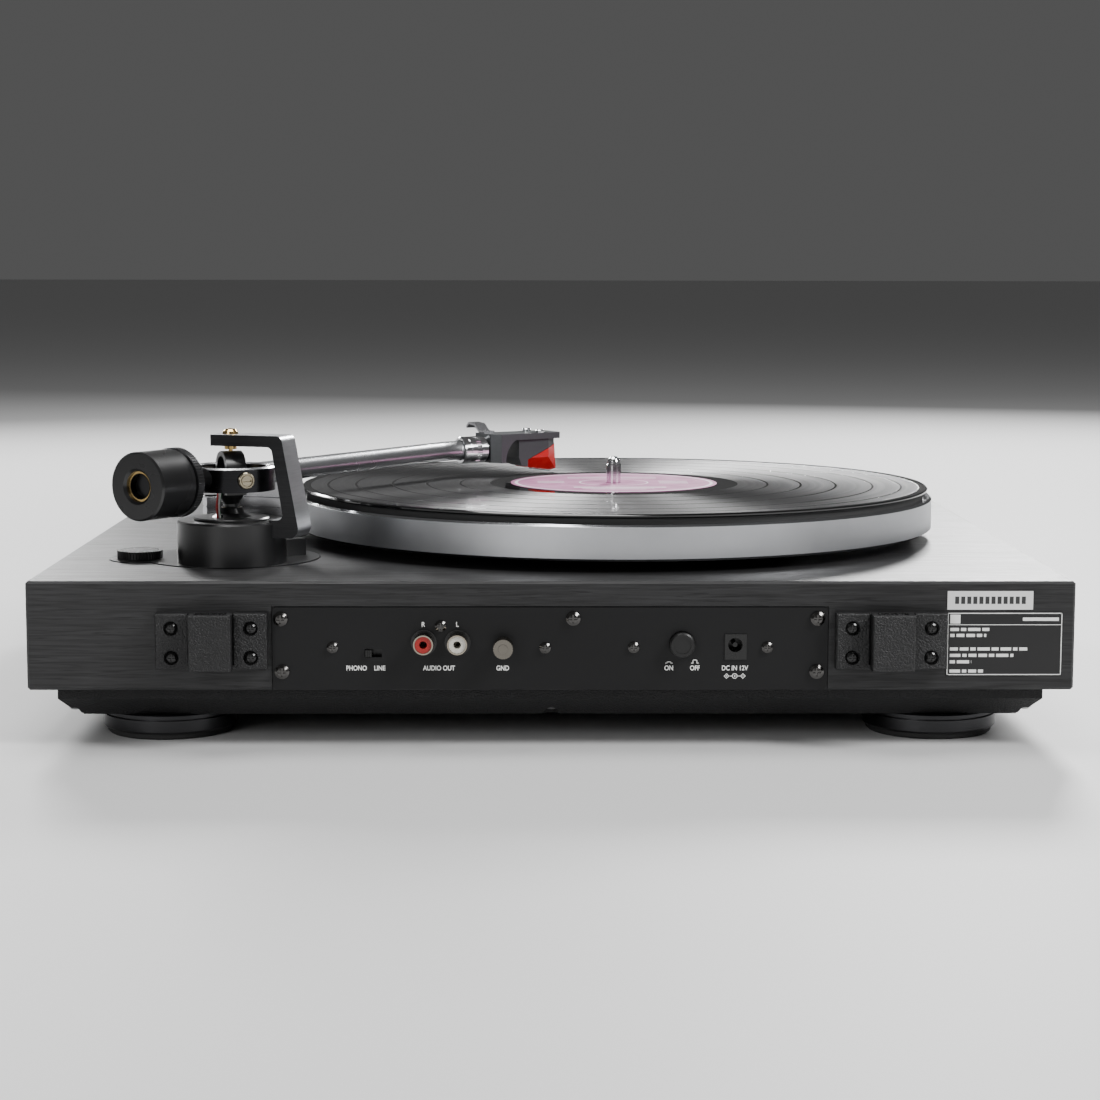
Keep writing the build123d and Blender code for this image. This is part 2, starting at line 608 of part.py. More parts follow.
def pipe_x(ro, ri, x0, x1, z=0.0):
    return cyl_x(ro, x0, x1, 0, z) - cyl_x(ri, x0 - 1, x1 + 1, 0, z)


def arm_tube():
    start = BEND_S - TANGENT
    inner = TUBE_R - 0.7
    bore = cyl(RING_R + 0.02, -20, 20)
    straight = pipe_x(TUBE_R, inner, 10, start) - bore
    ring = Pos(start, 0, 0) * Rot(0, 90, 0) * (Circle(TUBE_R) - Circle(inner))
    bend = revolve(ring, Axis((start, -BEND_R, 0), (0, 0, -1)), TURN)
    end = at_shell(pipe_x(TUBE_R, inner, TANGENT, 16.6, ARM_Z))
    return at_pivot(straight) + at_pivot(bend) + end


def rear_stub():
    stub = cyl_x(5.0, -56.4, -10) - cyl_x(2.2, -30, -5) - cyl(RING_R + 0.02, -20, 20)
    for i in range(9):
        groove = pipe_x(6.0, 4.8, -54.4 + 1.4 * i, -53.9 + 1.4 * i)
        stub -= groove
    return at_pivot(stub)


def counterweight_insert():
    return at_pivot(pipe_x(6.4, 5.0 + RUN, -59.2, -42.2))


WEIGHT_FRONT = -35.4


def counterweight():
    points = [(5.25, 0), (7.95, 0), (7.95, -4.3), (13.7, -4.3), (14.5, -5.1), (14.5, -25.0),
              (13.7, -25.8), (7.6, -25.8), (6.47, -24.8), (6.47, -3.2), (5.25, -3.2)]
    return at_pivot(Pos(WEIGHT_FRONT, 0, 0) * Rot(0, 90, 0) * turned(points))


def dial_ring():
    ring = knurled(14.9, 3.95, 72, 0.7) - Pos(0, 0, -1) * Cylinder(7.95 + RUN, 10, align=LOW)
    return at_pivot(Pos(WEIGHT_FRONT - 3.95, 0, 0) * Rot(0, 90, 0) * ring)


def locking_collar():
    sleeve = turned([(5.12, 5.8), (6.2, 5.8), (6.7, 6.4), (6.7, 8.3), (6.2, 8.6), (6.2, 9.2), (6.7, 9.5),
                     (6.7, 15.1), (6.45, 15.4), (6.45, 18.9), (5.2, 20.15), (4.3, 20.15), (4.3, 16.85),
                     (4.87, 16.85), (4.87, 9.6), (5.12, 9.3)])
    cutter = Pos(6.85, 0, 12.5) * Rot(0, 0, 45) * Box(0.6, 0.6, 2.6, align=LOW)
    sleeve -= [Rot(0, 0, 10 * i) * cutter for i in range(36)]
    return at_shell(Pos(0, 0, ARM_Z) * Rot(0, 90, 0) * sleeve)


def headshell():
    t0, t1 = SHELL_T
    low = SHELL_TOP - SHELL_H
    half = SHELL_W / 2
    plan = Polygon((t0, -half + 4), (t0 + 4, -half), (t1, -half + 1), (t1, half - 1), (t0, half), align=None)
    for side in (-1, 1):
        plan = fillet(plan.vertices().sort_by_distance((t1, side * (half - 1), 0))[0], 3.0)
    shell = Pos(0, 0, low) * extrude(plan, amount=SHELL_H)
    under = SHELL_TOP - SHELL_PLATE
    arch = [Line((27.3, low - 5), (27.3, low)), ThreePointArc((27.3, low), (28.9, 108.4), (33.2, under)),
            Line((33.2, under), (80, under)), Line((80, under), (80, low - 5)), Line((80, low - 5), (27.3, low - 5))]
    shell -= Rot(90, 0, 0) * extrude(make_face(arch), amount=30, both=True)
    for side in (-1, 1):
        slot = Pos(49, side * 6.35, under - 1) * extrude(SlotCenterToCenter(7, 2.9), amount=10)
        shell -= slot
    shell += cyl_x(4.2, 16.95, t0 + 0.01, 0, ARM_Z)
    return at_shell(shell)


def finger_lift():
    """Bent strip that stands out from the headshell's outer side."""
    top = SHELL_TOP
    outline = [(3.5, top), (9.0, top), (13.6, 119.0), (19.0, 119.4), (21.2, 117.4), (21.9, 118.2), (19.4, 120.5),
               (13.1, 120.1), (8.6, top + 1.0), (3.5, top + 1.0)]
    strip = Rot(0, 0, 90) * plate_xz(outline, 6.0)
    return at_shell(Pos(25.2, 0, 0) * strip)


def headshell_screws():
    screw = turned([(0, 0), (2.3, 0), (2.3, 1.1), (1.9, 1.5), (0, 1.5)]) + cyl(0.97, -6.0, 0.01)
    screw -= Pos(0, 0, 0.8) * Box(6, 0.6, 2, align=LOW)
    return at_shell(group([Pos(49, side * 6.35, SHELL_TOP) * screw for side in (-1, 1)]))


def front_taper(z0, z1):
    plan = Polygon((30, -7.5), (53.5, -7.5), (60.6, -3.4), (60.6, 3.4), (53.5, 7.5), (30, 7.5), align=None)
    return Pos(0, 0, z0) * extrude(plan, amount=z1 - z0)


def cartridge_body():
    side = plate_xz([(36, 112.65), (58.6, 112.65), (58.6, 109.9), (53.1, 107.8), (41.2, 102.4), (41.2, 98.8),
                     (37.4, 99.8), (36, 103.5)], 20)
    body = side & front_taper(90, 120)
    for y in (-6.35, 6.35):
        body -= cyl(1.02, 105, 115, 49, y)
    return at_shell(body)


def stylus_holder():
    side = plate_xz([(41.4, 102.2), (53.2, 107.55), (58.9, 109.7), (60.2, 97.2), (57.2, 96.4), (41.4, 98.4)], 20)
    front = Polygon((-7.5, 112), (-7.5, 103.2), (-3.2, 96), (3.2, 96), (7.5, 103.2), (7.5, 112), align=None)
    facets = Pos(80, 0, 0) * Rot(0, 0, 90) * Rot(90, 0, 0) * extrude(front, amount=60, both=True)
    return at_shell(side & front_taper(90, 120) & facets)


def cantilever():
    """Stylus tube with the tip on its end."""
    start = Vector(46.5, 0, 97.3)
    end = Vector(58.9, 0, 95.65)
    run = end - start
    rod = Plane(origin=start, z_dir=run) * Cylinder(0.28, run.length, align=LOW)
    tip = turned([(0, 95.15), (0.1, 95.2), (0.25, 95.7), (0, 95.7)])
    return at_shell(rod + Pos(58.7, 0, 0) * tip)


# ---------------------------------------------------------------- arm controls
def sector(r0, r1, a0, a1, z0, z1):
    """Arc-shaped block round the arm's pivot."""
    ring = tube(r1, r0, z0, z1)
    far = 2 * r1
    wedge = Polygon((0, 0), (far * math.cos(math.radians(a0)), far * math.sin(math.radians(a0))),
                    (far * math.cos(math.radians(a1)), far * math.sin(math.radians(a1))), align=None)
    return Pos(PIVOT_X, PIVOT_Y, 0) * (ring & Pos(0, 0, z0 - 1) * extrude(wedge, amount=z1 - z0 + 2))


def lift_housing():
    x, y = around(PIVOT_X, PIVOT_Y, LIFT_R, LIFT_MID)
    body = sector(27.5, 38.5, -142, -98, PLATE_Z[1], 78.0) + cyl(5.5, PLATE_Z[1], 86.0, x, y)
    body -= cyl(2.0 + RUN, 72.0, 90.0, x, y)
    ears = [block(-4, 4, side * 4.9 - 1, side * 4.9 + 1, PLATE_Z[1], 83.2) for side in (-1, 1)]
    mount = ears[0] + ears[1] + block(-4, 4, -5.9, 5.9, PLATE_Z[1], 74.0) + cyl_y(1.2, -5, 5, 0, 80)
    return group([body, Pos(LEVER_X, LEVER_Y, 0) * Rot(0, 0, -77.5) * mount])


def lift_bridge():
    x, y = around(PIVOT_X, PIVOT_Y, LIFT_R, LIFT_MID)
    rail = sector(30.5, 35.5, -131, -62, 87.0, 91.5) + sector(31.5, 34.5, -131, -62, 91.4, 92.2)
    rail += sector(30.5, 35.5, -131, -62, 92.1, 95.8) + sector(32.0, 34.0, -131, -92, 95.7, 102.85)
    return rail + cyl(2.0, 74.5, 87.1, x, y)


def cue_lever():
    hub = cyl_y(3.0, -3.5, 3.5, 0, 0) - cyl_y(1.2 + RUN, -5, 5, 0, 0)
    bar = Rot(0, -14, 0) * block(2.4, 31, -1.6, 1.6, -1.5, 1.5)
    paddle = block(0, 12.5, -3.9, 3.9, -1.4, 1.4)
    paddle = fillet(vertical_edges(paddle), 1.6)
    for i in range(3):
        paddle += block(2.6 + 3.4 * i, 4.4 + 3.4 * i, -3.6, 3.6, -2.1, 2.1)
    tip = Pos(29.5, 0, 7.6) * Rot(0, -42, 0) * paddle
    return Pos(LEVER_X, LEVER_Y, 80) * Rot(0, 0, -77.5) * (hub + bar + tip)


def antiskate_knob():
    cap = knurled(SKATE_R, 3.5, 48, 0.8)
    cap = cap - Pos(0, 0, 3.1) * (Cylinder(8.4, 1, align=LOW) - Cylinder(7.9, 1, align=LOW))
    return Pos(SKATE_X, SKATE_Y, 0) * (Pos(0, 0, 70.8) * cap + cyl(2.0, 65.0, 70.9))


REST_DIR = math.degrees(math.atan2(REST_Y - PIVOT_Y, REST_X - PIVOT_X))
CLIP_Y = 9.2
CLIP_Z = 98.6
CLIP_OPEN = 180.0


def at_rest_post(shape):
    return Pos(REST_X, REST_Y, 0) * Rot(0, 0, REST_DIR) * shape


def arm_rest():
    """Post with a ledge and a low stop for the parked tube, and ears for the clip."""
    body = cyl(9.0, 70.0, 72.5) + cyl(4.5, 72.4, 98.0)
    body += block(-5, 5, -6, 7.4, 97.0, 102.85) + block(-5, 5, 3.6, 7.4, 102.8, 104.2)
    for side in (-1, 1):
        body += block(side * 4.1 - 0.9, side * 4.1 + 0.9, 7.3, 11.0, 97.0, 100.4)
    body -= cyl_x(0.9 + RUN, -10, 10, CLIP_Y, CLIP_Z)
    return at_rest_post(body)


def rest_clip():
    """Hook that swings up and over the parked tube; it hangs beside the post when open."""
    pin = cyl_x(0.9, -4.8, 4.8, 0, 0)
    hook = Rot(0, 0, 90) * plate_xz([(-1.2, -1.1), (1.2, -1.1), (1.3, 15.2), (0.2, 16.4), (-15.4, 16.4), (-15.4, 12.0),
                                     (-14.3, 12.0), (-14.3, 14.7), (-0.9, 14.7), (-0.9, 1.6), (-1.2, 1.1)], 5.6)
    hanging = Rot(-CLIP_OPEN, 0, 0) * (pin + hook)
    return at_rest_post(Pos(0, CLIP_Y, CLIP_Z) * hanging)


def arm_wires():
    parts = []
    for i, (dx, dy) in enumerate(((-0.5, -0.45), (0.45, -0.5), (0.5, 0.45), (-0.45, 0.5))):
        sway = 0.6 if i in (0, 3) else -0.2
        x = WIRE_SPOT[0] + dx
        y = WIRE_SPOT[1] + dy
        path = FilletPolyline((x, y, 79), (x, y, 90), (x + 0.6, y + sway, 95), (x - 0.3, y, 101.6), radius=5)
        parts.append(sweep(Plane(origin=(x, y, 79), z_dir=(0, 0, 1)) * Circle(WIRE_R), path=path))
    return group(parts)


def speed_knob():
    cap = knurled(13.0, 9.6, 60, 0.7)
    cap = cap - Pos(0, 11.5, 9.2) * Box(1.4, 7, 2, align=LOW)
    return Pos(SPEED_X, SPEED_Y, 0) * (Pos(0, 0, 70.9) * cap + cyl(3.0, 48.0, 71.0))


# ---------------------------------------------------------------- export
PIECES = {
    "plinth": plinth(),
    "base_pan": base_pan(),
    "chassis_screws": chassis_screws(),
    "foot_shells": group([Pos(x, y, 0) * foot_shell() for x, y in foot_places()]),
    "foot_pads": group([Pos(x, y, 0) * foot_pad() for x, y in foot_places()]),
    "bearing_housing": Pos(SPINDLE_X, 0, 0) * bearing_housing(),
    "spindle": Pos(SPINDLE_X, 0, 0) * spindle(),
    "sub_platter": Pos(SPINDLE_X, 0, 0) * sub_platter(),
    "platter": Pos(SPINDLE_X, 0, 0) * platter(),
    "platter_mat": tube(MAT_R, SPINDLE_R + 0.05, PLATTER_Z[1], RECORD_Z[0], SPINDLE_X, 0),
    "record": Pos(SPINDLE_X, 0, 0) * record(),
    "record_label": tube(LABEL_R, HOLE_R, RECORD_Z[1], RECORD_Z[1] + LABEL_T, SPINDLE_X, 0),
    "motor_plate": motor_plate(),
    "motor_body": motor_body(),
    "motor_pulley": motor_pulley(),
    "drive_belt": drive_belt(),
    "rear_panel": rear_panel(),
    "rear_panel_screws": rear_panel_screws(),
    "hinge_bracket_left": hinge_bracket(-1),
    "hinge_bracket_right": hinge_bracket(1),
    "hinge_screws": hinge_screws(),
    "rear_labels": rear_labels(),
    "rca_block": rca_block(),
    "rca_shells": group([rca_shell(RCA_RED_X), rca_shell(RCA_WHITE_X)]),
    "rca_insert_red": rca_insert(RCA_RED_X),
    "rca_insert_white": rca_insert(RCA_WHITE_X),
    "ground_post": ground_post(),
    "ground_nut": ground_nut(),
    "dc_jack": dc_jack(),
    "switch_bodies": switch_bodies(),
    "power_button": power_button(),
    "slide_switch_knob": slide_knob(),
    "main_board": main_board(),
    "arm_base_plate": arm_base_plate(),
    "arm_base": arm_base(),
    "bearing_bridge": bearing_bridge(),
    "yaw_bearings": yaw_bearings(),
    "gimbal_yoke": gimbal_yoke(),
    "gimbal_ring": gimbal_ring(),
    "pitch_pivot_screws": pitch_pivot_screws(),
    "arm_tube": arm_tube(),
    "rear_stub": rear_stub(),
    "counterweight_insert": counterweight_insert(),
    "counterweight": counterweight(),
    "dial_ring": dial_ring(),
    "locking_collar": locking_collar(),
    "headshell": headshell(),
    "finger_lift": finger_lift(),
    "headshell_screws": headshell_screws(),
    "cartridge_body": cartridge_body(),
    "stylus_holder": stylus_holder(),
    "cantilever": cantilever(),
    "lift_housing": lift_housing(),
    "lift_bridge": lift_bridge(),
    "cue_lever": cue_lever(),
    "antiskate_knob": antiskate_knob(),
    "arm_rest": arm_rest(),
    "rest_clip": rest_clip(),
    "arm_wires": arm_wires(),
    "speed_knob": speed_knob(),
}

for name, piece in PIECES.items():
    export(name, piece)
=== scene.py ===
import json
import math

import bmesh
import bpy
from mathutils import Matrix, Vector


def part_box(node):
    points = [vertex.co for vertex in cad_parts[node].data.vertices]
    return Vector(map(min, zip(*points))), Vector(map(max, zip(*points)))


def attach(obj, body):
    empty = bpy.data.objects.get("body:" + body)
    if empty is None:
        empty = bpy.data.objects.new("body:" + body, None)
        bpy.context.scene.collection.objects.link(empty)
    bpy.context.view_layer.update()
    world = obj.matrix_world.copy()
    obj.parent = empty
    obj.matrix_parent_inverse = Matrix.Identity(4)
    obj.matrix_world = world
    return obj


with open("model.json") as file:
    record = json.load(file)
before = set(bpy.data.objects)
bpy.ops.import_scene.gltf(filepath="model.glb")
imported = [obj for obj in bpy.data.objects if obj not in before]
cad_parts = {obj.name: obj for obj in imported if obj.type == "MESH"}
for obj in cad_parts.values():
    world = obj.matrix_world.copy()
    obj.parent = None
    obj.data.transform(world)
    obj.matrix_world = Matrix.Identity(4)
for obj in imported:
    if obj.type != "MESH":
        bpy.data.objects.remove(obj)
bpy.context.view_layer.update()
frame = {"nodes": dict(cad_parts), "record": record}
MM = 0.001
NODES = frame["nodes"]


def centre(node):
    low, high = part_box(node)
    return (Vector(low) + Vector(high)) / 2


SPINDLE = centre("spindle")
PANEL_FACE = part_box("rear_panel")[1][1]


# ---------------------------------------------------------------- node helpers
class Look:
    """One procedural material, built from a Principled shader in object coordinates."""

    def __init__(self, name, color, rough, metal=0.0, coat=0.0, coat_rough=0.1, specular=0.5):
        self.mat = bpy.data.materials.new(name)
        self.mat.use_nodes = True
        self.tree = self.mat.node_tree
        self.bsdf = self.tree.nodes["Principled BSDF"]
        self.color = (*color, 1.0)
        self.set("Base Color", self.color)
        self.set("Roughness", rough)
        self.set("Metallic", metal)
        self.set("Coat Weight", coat)
        self.set("Coat Roughness", coat_rough)
        self.set("Specular IOR Level", specular)
        self.heights = []
        self.coords = self.add("ShaderNodeTexCoord").outputs["Object"]

    def set(self, socket, value):
        self.bsdf.inputs[socket].default_value = value

    def add(self, kind, links=None, **values):
        node = self.tree.nodes.new(kind)
        for key, value in values.items():
            setattr(node, key, value)
        for socket, source in (links or {}).items():
            if isinstance(source, bpy.types.NodeSocket):
                self.tree.links.new(source, node.inputs[socket])
            else:
                node.inputs[socket].default_value = source
        return node

    def math(self, operation, a, b=0.0):
        node = self.add("ShaderNodeMath", operation=operation)
        for index, source in enumerate((a, b)):
            if isinstance(source, bpy.types.NodeSocket):
                self.tree.links.new(source, node.inputs[index])
            else:
                node.inputs[index].default_value = source
        return node.outputs[0]

    def noise(self, scale, detail=3.0, stretch=(1, 1, 1), distortion=0.0):
        mapping = self.add("ShaderNodeMapping", {"Vector": self.coords, "Scale": stretch})
        links = {"Vector": mapping.outputs[0], "Scale": scale, "Detail": detail, "Distortion": distortion}
        return self.add("ShaderNodeTexNoise", links).outputs[0]

    def ramp(self, source, low, high):
        """Map 0..1 to low..high with clamping."""
        links = {"Value": source, "To Min": low, "To Max": high}
        return self.add("ShaderNodeMapRange", links).outputs[0]

    def band(self, source, low, high):
        """Map low..high to 0..1 with clamping."""
        links = {"Value": source, "From Min": low, "From Max": high}
        return self.add("ShaderNodeMapRange", links).outputs[0]

    def shades(self, source, dark, light):
        node = self.add("ShaderNodeMix", {"Factor": source}, data_type="RGBA")
        node.inputs[6].default_value = (*dark, 1.0)
        node.inputs[7].default_value = (*light, 1.0)
        return node.outputs[2]

    def blend(self, source, dark, light):
        """Mix two colour sockets."""
        node = self.add("ShaderNodeMix", {"Factor": source}, data_type="RGBA")
        self.tree.links.new(dark, node.inputs[6])
        self.tree.links.new(light, node.inputs[7])
        return node.outputs[2]

    def paint(self, source):
        self.tree.links.new(source, self.bsdf.inputs["Base Color"])

    def gloss(self, source):
        self.tree.links.new(source, self.bsdf.inputs["Roughness"])

    def bump(self, source, distance, strength=1.0):
        links = {"Height": source, "Distance": distance, "Strength": strength}
        if self.heights:
            links["Normal"] = self.heights[-1]
        node = self.add("ShaderNodeBump", links)
        self.heights.append(node.outputs[0])
        self.tree.links.new(node.outputs[0], self.bsdf.inputs["Normal"])

    def radius(self, axis_point):
        """Distance from an upright axis, in metres."""
        shift = self.add("ShaderNodeVectorMath", {0: self.coords}, operation="SUBTRACT")
        shift.inputs[1].default_value = (axis_point[0], axis_point[1], 0)
        flat = self.add("ShaderNodeVectorMath", {0: shift.outputs[0]}, operation="MULTIPLY")
        flat.inputs[1].default_value = (1, 1, 0)
        return self.add("ShaderNodeVectorMath", {0: flat.outputs[0]}, operation="LENGTH").outputs["Value"]

    def along(self, axis):
        return self.add("ShaderNodeSeparateXYZ", {"Vector": self.coords}).outputs[axis]


def tint(color, factor):
    return tuple(min(1.0, c * factor) for c in color)


def plain(name, color, rough, metal=0.0, grain=900, vary=0.2, depth=0.00002, spread=0.08, **extra):
    """Moulded, painted or cast surface: fine grain, cloudy colour and gloss, and a little wear."""
    look = Look(name, color, rough, metal, **extra)
    cloud = look.noise(28, 4)
    fine = look.noise(grain, 2)
    both = look.math("MULTIPLY", look.math("ADD", fine, cloud), 0.5)
    look.paint(look.shades(both, tint(color, 1 - vary), tint(color, 1 + vary)))
    look.gloss(look.ramp(cloud, max(rough - spread, 0.03), min(rough + spread, 1.0)))
    if depth:
        look.bump(fine, depth)
    return look


def turned_metal(name, color, rough, spread=0.08, pitch=2500):
    """Metal with fine tool lines round the part's upright axis."""
    look = Look(name, color, rough, 1.0)
    lines = look.noise(1.0, 2, (12, 12, pitch))
    cloud = look.noise(35, 3)
    look.paint(look.shades(cloud, tint(color, 0.9), tint(color, 1.08)))
    mixed = look.math("MULTIPLY", look.math("ADD", lines, cloud), 0.5)
    look.gloss(look.ramp(mixed, rough - spread, rough + spread))
    look.bump(lines, 0.000008)
    return look


def brushed(name, color, rough, stretch, metal=1.0, spread=0.1, depth=0.00001):
    """Metal brushed along the axis whose stretch is small."""
    look = Look(name, color, rough, metal)
    lines = look.noise(1.0, 3, stretch)
    cloud = look.noise(30, 3)
    look.paint(look.shades(lines, tint(color, 0.82), tint(color, 1.12)))
    mixed = look.math("MULTIPLY", look.math("ADD", lines, cloud), 0.5)
    look.gloss(look.ramp(mixed, rough - spread, rough + spread))
    look.bump(lines, depth)
    return look


# ---------------------------------------------------------------- materials
def wood_grain():
    """Black ash foil: short fine grain along X, or along Y on the end faces, with open pores."""
    look = Look("wood_grain_vinyl", (0.02, 0.02, 0.021), 0.42, specular=0.4)
    normal = look.add("ShaderNodeNewGeometry").outputs["True Normal"]
    across = look.math("ABSOLUTE", look.add("ShaderNodeSeparateXYZ", {"Vector": normal}).outputs[0])
    end = look.band(across, 0.6, 0.8)

    def grain(scale, detail, length, width, distortion):
        one = look.noise(scale, detail, (length, width, width), distortion)
        two = look.noise(scale, detail, (width, length, width), distortion)
        return look.math("ADD", look.math("MULTIPLY", one, look.math("SUBTRACT", 1.0, end)),
                         look.math("MULTIPLY", two, end))

    fibre = grain(1.0, 5, 32, 900, 0.9)
    pores = grain(1.0, 3, 70, 2200, 0.3)
    broad = grain(1.0, 3, 7, 90, 1.2)
    streak = look.math("ADD", look.math("MULTIPLY", fibre, 0.75), look.math("MULTIPLY", broad, 0.25))
    sharp = look.band(streak, 0.34, 0.66)
    pore = look.band(pores, 0.57, 0.66)
    base = look.shades(sharp, (0.008, 0.008, 0.0082), (0.029, 0.029, 0.03))
    dark = look.add("ShaderNodeRGB")
    dark.outputs[0].default_value = (0.006, 0.006, 0.0062, 1)
    look.paint(look.blend(pore, base, dark.outputs[0]))
    look.gloss(look.ramp(sharp, 0.5, 0.38))
    look.bump(streak, 0.0001)
    look.bump(pore, 0.00005, 0.6)
    return look


def vinyl():
    """Pressed record: fine grooves, bands between tracks and a smooth run-out."""
    look = Look("vinyl", (0.005, 0.005, 0.0055), 0.45, coat=0.35, coat_rough=0.05)
    look.set("Anisotropic", 0.95)
    tangent = look.add("ShaderNodeTangent", direction_type="RADIAL", axis="Z")
    look.tree.links.new(tangent.outputs[0], look.bsdf.inputs["Tangent"])
    r = look.radius(SPINDLE)

    def rings(pitch, detail):
        links = {"W": look.math("MULTIPLY", r, pitch), "Scale": 1.0, "Detail": detail}
        return look.add("ShaderNodeTexNoise", links, noise_dimensions="1D").outputs[0]

    ring = rings(2600.0, 4.0)
    loud = rings(260.0, 3.0)
    fine = look.math("SINE", look.math("MULTIPLY", r, 2 * math.pi / 0.00042))
    gaps = None
    for gap in (0.0745, 0.0905, 0.1072, 0.1248, 0.1382):
        near = look.math("ABSOLUTE", look.math("SUBTRACT", r, gap))
        hit = look.band(near, 0.0007, 0.0004)
        gaps = hit if gaps is None else look.math("MAXIMUM", gaps, hit)
    runout = look.band(r, 0.0605, 0.0598)
    edge = look.band(r, 0.1462, 0.1468)
    smooth = look.math("MAXIMUM", gaps, look.math("MAXIMUM", runout, edge))
    grooved = look.math("SUBTRACT", 1.0, smooth)
    look.paint(look.shades(look.math("MULTIPLY", loud, grooved), (0.003, 0.003, 0.0033), (0.01, 0.01, 0.011)))
    mixed = look.math("ADD", look.math("MULTIPLY", loud, 0.7), look.math("MULTIPLY", ring, 0.3))
    rough = look.ramp(mixed, 0.36, 0.58)
    look.gloss(look.math("ADD", look.math("MULTIPLY", rough, grooved), look.math("MULTIPLY", smooth, 0.07)))
    height = look.math("MULTIPLY", look.math("ADD", look.math("MULTIPLY", fine, 0.3), ring), grooved)
    look.bump(height, 0.000022)
    return look


def label_paper():
    """Coated label paper: pink marbled print with a pale ring near its rim."""
    look = Look("label_paper", (0.62, 0.3, 0.5), 0.4)
    r = look.radius(SPINDLE)
    cloud = look.noise(60, 5, distortion=1.2)
    fibre = look.noise(1800, 2)
    pink = look.shades(look.band(cloud, 0.35, 0.65), (0.34, 0.09, 0.22), (0.5, 0.2, 0.37))
    pale = look.shades(fibre, (0.72, 0.62, 0.7), (0.84, 0.78, 0.83))
    outer = look.band(look.math("ABSOLUTE", look.math("SUBTRACT", r, 0.0474)), 0.0009, 0.0006)
    inner = look.band(look.math("ABSOLUTE", look.math("SUBTRACT", r, 0.0165)), 0.0005, 0.0003)
    look.paint(look.blend(look.math("MAXIMUM", outer, inner), pink, pale))
    look.gloss(look.ramp(fibre, 0.34, 0.5))
    look.bump(fibre, 0.000012)
    return look


def platter_metal():
    """Satin die-cast rim with turned lines; the cut edges shine."""
    look = Look("platter_aluminium", (0.6, 0.61, 0.63), 0.34, 1.0)
    low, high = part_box("platter")
    z = look.along("Z")
    lines = look.noise(1.0, 2, (6, 6, 3200))
    cloud = look.noise(50, 4)
    look.paint(look.shades(cloud, (0.52, 0.53, 0.55), (0.66, 0.67, 0.69)))
    near_top = look.band(z, high[2] - 0.0011, high[2] - 0.0008)
    near_low = look.band(z, low[2] + 0.0011, low[2] + 0.0008)
    cut = look.math("MAXIMUM", near_top, near_low)
    satin = look.ramp(look.math("MULTIPLY", look.math("ADD", lines, cloud), 0.5), 0.3, 0.46)
    keep = look.math("SUBTRACT", 1.0, cut)
    look.gloss(look.math("ADD", look.math("MULTIPLY", satin, keep), look.math("MULTIPLY", cut, 0.12)))
    look.bump(lines, 0.00001)
    return look


def mat_rubber():
    """Rubber slip mat with fine concentric ribs."""
    look = Look("mat_rubber", (0.02, 0.02, 0.02), 0.7)
    r = look.radius(SPINDLE)
    ribs = look.math("SINE", look.math("MULTIPLY", r, 2 * math.pi / 0.0018))
    grain = look.noise(1500, 2)
    look.paint(look.shades(grain, (0.014, 0.014, 0.014), (0.03, 0.03, 0.03)))
    look.gloss(look.ramp(grain, 0.6, 0.82))
    look.bump(ribs, 0.00012)
    look.bump(grain, 0.00002)
    return look


def spark_plastic(name, color, rough):
    """Black plastic with a coarse spark-eroded texture."""
    look = Look(name, color, rough, specular=0.4)
    cells = look.noise(1300, 3)
    small = look.noise(2600, 2)
    look.paint(look.shades(cells, tint(color, 0.6), tint(color, 1.7)))
    look.gloss(look.ramp(small, rough - 0.1, rough + 0.14))
    look.bump(look.band(cells, 0.36, 0.64), 0.00022)
    look.bump(small, 0.00004)
    return look


def panel_satin():
    """Powder-coated sheet: even black with a very fine grain."""
    look = Look("panel_black", (0.008, 0.008, 0.0083), 0.4, specular=0.25)
    fine = look.noise(2600, 2)
    cloud = look.noise(14, 3)
    look.paint(look.shades(cloud, (0.0065, 0.0065, 0.0068), (0.0105, 0.0105, 0.011)))
    look.gloss(look.ramp(look.math("MULTIPLY", look.math("ADD", fine, cloud), 0.5), 0.34, 0.46))
    look.bump(fine, 0.000025)
    return look


def wire_covers():
    """Four thin strands in four colours, told apart by their place in the bundle."""
    look = Look("wire_cover", (0.4, 0.03, 0.03), 0.4)
    middle = centre("arm_wires")
    right = look.band(look.along("X"), middle[0] - 0.00002, middle[0] + 0.00002)
    back = look.band(look.along("Y"), middle[1] - 0.00002, middle[1] + 0.00002)
    fine = look.noise(1500, 2)
    front = look.blend(right, look.shades(fine, (0.5, 0.5, 0.49), (0.66, 0.66, 0.65)),
                       look.shades(fine, (0.4, 0.015, 0.012), (0.55, 0.03, 0.025)))
    rear = look.blend(right, look.shades(fine, (0.02, 0.16, 0.05), (0.04, 0.26, 0.09)),
                      look.shades(fine, (0.02, 0.03, 0.09), (0.03, 0.05, 0.14)))
    look.paint(look.blend(back, rear, front))
    look.gloss(look.ramp(fine, 0.32, 0.46))
    look.bump(fine, 0.00001)
    return look


